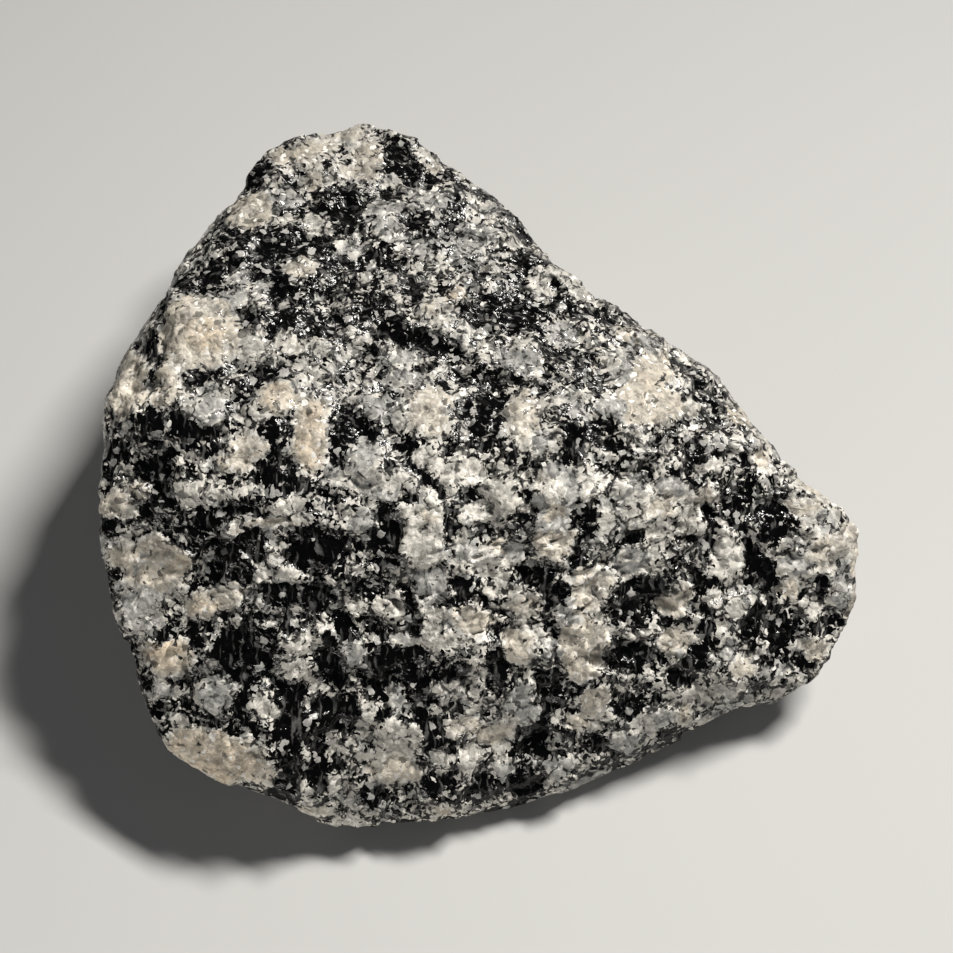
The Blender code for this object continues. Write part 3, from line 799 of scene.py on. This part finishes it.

# %% [markdown]
# ## The finish of the rock
# The four numbers say which mineral a place belongs to, but only every third of a millimetre. The material
# tears their borders with cells of four sizes and with noise, and gives every small cell its own shade, its
# own gloss and its own tilt, which is what makes a broken crystal face flash as the stone is turned. A few
# of the finest cells also get painted glints, near-white painted into the colour, and the black mica gets
# grey flecks that are partly grains and partly painted sheen. Fibres squeezed along the layering streak the
# stone, and upright ones take over on the front and left slopes. Thin dark seams follow a pattern of cells
# of their own, about as large as the coarsest: they are cracks between grains and also painted shade in
# the grooves there. The light minerals carry the painted light and painted shade of the fourth number.

# %% The minerals' material
CELLS_PER_MM = (0.5, 0.95, 1.6, 2.5)
CELL_TILTS = (0.16, 0.18, 0.15, 0.2)
SEAMS_PER_MM = 0.55
FIBRES_PER_MM = 0.85
LAYER_SQUEEZE = 2.6
UPRIGHT_SQUEEZE = (2.6, 0.55, 0.7)
WHITE_TINT = (0.62, 0.597, 0.545, 1)
CREAM_TINT = (0.55, 0.503, 0.428, 1)
TAN_TINT = (0.575, 0.487, 0.375, 1)
QUARTZ_TINT = (0.42, 0.415, 0.395, 1)
MIXED_TINT = (0.2, 0.195, 0.185, 1)
# Dark specks, cracks between grains, and painted shade in the grooves between grains.
SEAM_SPECK_AND_SHADE_TINT = (0.03, 0.029, 0.027, 1)
MICA_TINT = (0.0015, 0.0015, 0.0015, 1)
VEIN_TINT = (0.08, 0.08, 0.078, 1)
# Grey flecks in the black mica: partly small grains, partly painted sheen of mica flakes.
FLECK_AND_SHEEN_TINT = (0.34, 0.335, 0.32, 1)
# Painted glint: a near-white painted into the colour where a crystal face would flash.
PAINTED_GLINT_TINT = (0.66, 0.64, 0.6, 1)


def cells(tree, place, scale, feature="F1"):
    """A Voronoi texture: its Color is a chance colour for each cell, and its Distance the way to the seed."""
    return add_node(tree, "ShaderNodeTexVoronoi", {"Vector": place, "Scale": scale}, feature=feature)


def noise(tree, place, scale, detail=2.0, rough=0.5):
    """A Noise texture: its Fac is a number from 0 to 1, and its Color three such numbers."""
    inputs = {"Vector": place, "Scale": scale, "Detail": detail, "Roughness": rough}
    return add_node(tree, "ShaderNodeTexNoise", inputs)


def parts(tree, colour):
    """A colour's three numbers, each from an output of its own."""
    return add_node(tree, "ShaderNodeSeparateColor", {"Color": colour}).outputs


def attribute(tree, name):
    """A number kept at the mesh's vertices."""
    return add_node(tree, "ShaderNodeAttribute", attribute_name=name).outputs["Fac"]


def centred(tree, value, size):
    """A chance number from 0 to 1 turned into one from minus to plus half of size."""
    return figure(tree, "MULTIPLY_ADD", value, size, -0.5 * size)


def total(tree, *values):
    """The sum of several numbers."""
    result = values[0]
    for value in values[1:]:
        result = figure(tree, "ADD", result, value)
    return result


def mineral_material():
    """Granodiorite: coordinates in millimetres, torn cells, mineral masks, colour, gloss and normals."""
    material, tree, shader = new_material("granodiorite_minerals")
    place = add_node(tree, "ShaderNodeTexCoord").outputs["Object"]
    mm = vector_figure(tree, "MULTIPLY", place, (1 / MM, 1 / MM, 1 / MM))
    bent = mm
    for scale, size in ((0.8, 0.8), (2.2, 0.3)):
        wobble = noise(tree, mm, scale, 2.0).outputs["Color"]
        wobble = vector_figure(tree, "SUBTRACT", wobble, (0.5, 0.5, 0.5))
        bent = vector_figure(tree, "MULTIPLY_ADD", wobble, (size, size, size), bent)
    along = add_node(tree, "ShaderNodeVectorMath", {0: bent, 1: tuple(LAYERING)}, operation="DOT_PRODUCT")
    squeeze = {0: tuple(LAYERING), "Scale": along.outputs["Value"]}
    squeeze = add_node(tree, "ShaderNodeVectorMath", squeeze, operation="SCALE").outputs[0]
    layered = vector_figure(tree, "MULTIPLY_ADD", squeeze, (LAYER_SQUEEZE,) * 3, bent)

    coarse, middle, fine, finest = [cells(tree, bent, count) for count in CELLS_PER_MM]
    c1, c2, c3 = parts(tree, coarse.outputs["Color"])
    m1, m2, m3 = parts(tree, middle.outputs["Color"])
    f1, f2, f3 = parts(tree, fine.outputs["Color"])
    x1, x2, x3 = parts(tree, finest.outputs["Color"])
    upright = vector_figure(tree, "MULTIPLY", bent, UPRIGHT_SQUEEZE)
    fibres = noise(tree, layered, FIBRES_PER_MM, 1.0, 0.5).outputs["Fac"]
    front_fibres = noise(tree, upright, FIBRES_PER_MM, 1.0, 0.5).outputs["Fac"]
    painted_light_and_shade = attribute(tree, "painted_light_and_shade")
    fibres = blend_number(tree, ease(tree, painted_light_and_shade, 0.55, 0.85), fibres, front_fibres)
    grit = noise(tree, mm, 2.1, 1.0, 0.5).outputs["Fac"]

    dark_here = total(
        tree, figure(tree, "MULTIPLY", attribute(tree, "dark"), 0.58),
        centred(tree, c1, 0.5), centred(tree, m1, 1.15), centred(tree, f1, 1.1), centred(tree, x1, 1.5),
        centred(tree, fibres, 1.0), centred(tree, grit, 0.4), -0.16)
    mica = ease(tree, dark_here, -0.07, 0.07)
    nearly = figure(tree, "MULTIPLY", ease(tree, dark_here, -0.5, -0.15), ease(tree, m3, 0.52, 0.57))
    # Flecks in the mica: partly small grains, partly painted sheen.
    fleck_and_sheen = ease(tree, f2, 0.93, 0.95)
    vein = ease(tree, fibres, 0.56, 0.72)
    speck = figure(tree, "MULTIPLY", ease(tree, f2, 0.05, 0.03), 0.7)
    # Painted glints: a few of the finest cells are painted near-white.
    painted_glint = ease(tree, x3, 0.93, 0.95)
    # Seams: cracks where grains meet, and painted shade in the grooves between them, kept out of the deepest
    # light patches.
    seam_and_shade = cells(tree, bent, SEAMS_PER_MM, "DISTANCE_TO_EDGE").outputs["Distance"]
    seam_and_shade = figure(tree, "MULTIPLY", ease(tree, seam_and_shade, 0.05, 0.12, 1.0, 0.0), ease(tree, grit, 0.37, 0.46))
    seam_and_shade = figure(tree, "MULTIPLY", seam_and_shade, ease(tree, dark_here, -1.8, -1.0))

    warmth = total(tree, attribute(tree, "warm"), centred(tree, c2, 0.3), centred(tree, grit, 0.3))
    glassy = total(
        tree, figure(tree, "MULTIPLY", attribute(tree, "pale"), -0.8), figure(tree, "MULTIPLY", warmth, -0.9),
        centred(tree, c3, 1.2), centred(tree, m3, 0.6))
    glassy = ease(tree, glassy, 0.2, 0.4)
    colour = blend_colour(tree, ease(tree, warmth, 0.1, 0.55), WHITE_TINT, CREAM_TINT)
    colour = blend_colour(tree, ease(tree, warmth, 0.6, 1.1), colour, TAN_TINT)
    colour = blend_colour(tree, glassy, colour, QUARTZ_TINT)
    colour = blend_colour(tree, nearly, colour, MIXED_TINT)
    shade = total(
        tree, ease(tree, m2, 0.0, 0.7, 0.68, 0.94), ease(tree, f3, 0.0, 1.0, -0.13, 0.17),
        centred(tree, x2, 0.36), centred(tree, grit, 0.5))
    # Painted light and painted shade: the light minerals are multiplied by the fourth number, whiter away
    # from the key panel and darker facing it.
    shade = figure(tree, "MULTIPLY", shade, ease(tree, painted_light_and_shade, 0.0, 1.0, 0.45, 1.0))
    grey_shade = add_node(tree, "ShaderNodeCombineColor", {0: shade, 1: shade, 2: shade}).outputs[0]
    colour = blend_colour(tree, 1.0, colour, grey_shade, "MULTIPLY")
    # Dark specks, and seams of crack and painted shade, go into the colour here.
    colour = blend_colour(tree, figure(tree, "MAXIMUM", speck, seam_and_shade), colour, SEAM_SPECK_AND_SHADE_TINT)
    black = blend_colour(tree, vein, MICA_TINT, VEIN_TINT)
    # The grey flecks, partly painted sheen, go into the black here.
    black = blend_colour(tree, fleck_and_sheen, black, FLECK_AND_SHEEN_TINT)
    # The painted glints go into the colour here.
    colour = blend_colour(tree, painted_glint, colour, PAINTED_GLINT_TINT)
    colour = blend_colour(tree, mica, colour, black)
    tree.links.new(colour, shader.inputs["Base Color"])

    shader.inputs["Specular IOR Level"].default_value = 0.25
    polish = ease(tree, x1, 0.8, 0.86)
    gloss = ease(tree, polish, 0.0, 1.0, 0.48, 0.12)
    gloss = blend_number(tree, mica, gloss, figure(tree, "MULTIPLY_ADD", f3, 0.15, 0.12))
    tree.links.new(gloss, shader.inputs["Roughness"])

    facing = add_node(tree, "ShaderNodeNewGeometry").outputs["Normal"]
    for kind, size in zip((coarse, middle, fine, finest), CELL_TILTS):
        tilt = vector_figure(tree, "SUBTRACT", kind.outputs["Color"], (0.5, 0.5, 0.5))
        facing = vector_figure(tree, "MULTIPLY_ADD", tilt, (size, size, size), facing)
    facing = vector_figure(tree, "NORMALIZE", facing)
    bumps = total(
        tree, figure(tree, "MULTIPLY", figure(tree, "POWER", middle.outputs["Distance"], 2.0), -0.1),
        figure(tree, "MULTIPLY", figure(tree, "POWER", fine.outputs["Distance"], 2.0), -0.06),
        figure(tree, "MULTIPLY", grit, 0.07))
    inputs = {"Strength": 1.0, "Distance": MM, "Height": bumps, "Normal": facing}
    bump = add_node(tree, "ShaderNodeBump", inputs)
    tree.links.new(bump.outputs["Normal"], shader.inputs["Normal"])
    return material


skin_mesh.materials.append(mineral_material())
print("material nodes:", len(skin_mesh.materials[0].node_tree.nodes))

# %% [markdown]
# ## Hand over
# The skin rides on the stone's only body and stands for its only solid. The two boxes are written down, so
# that anyone can check that the skin stays inside the CAD solid's size.

# %% Ride, replace and finish
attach(skin, "root")
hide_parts("granodiorite_rock")
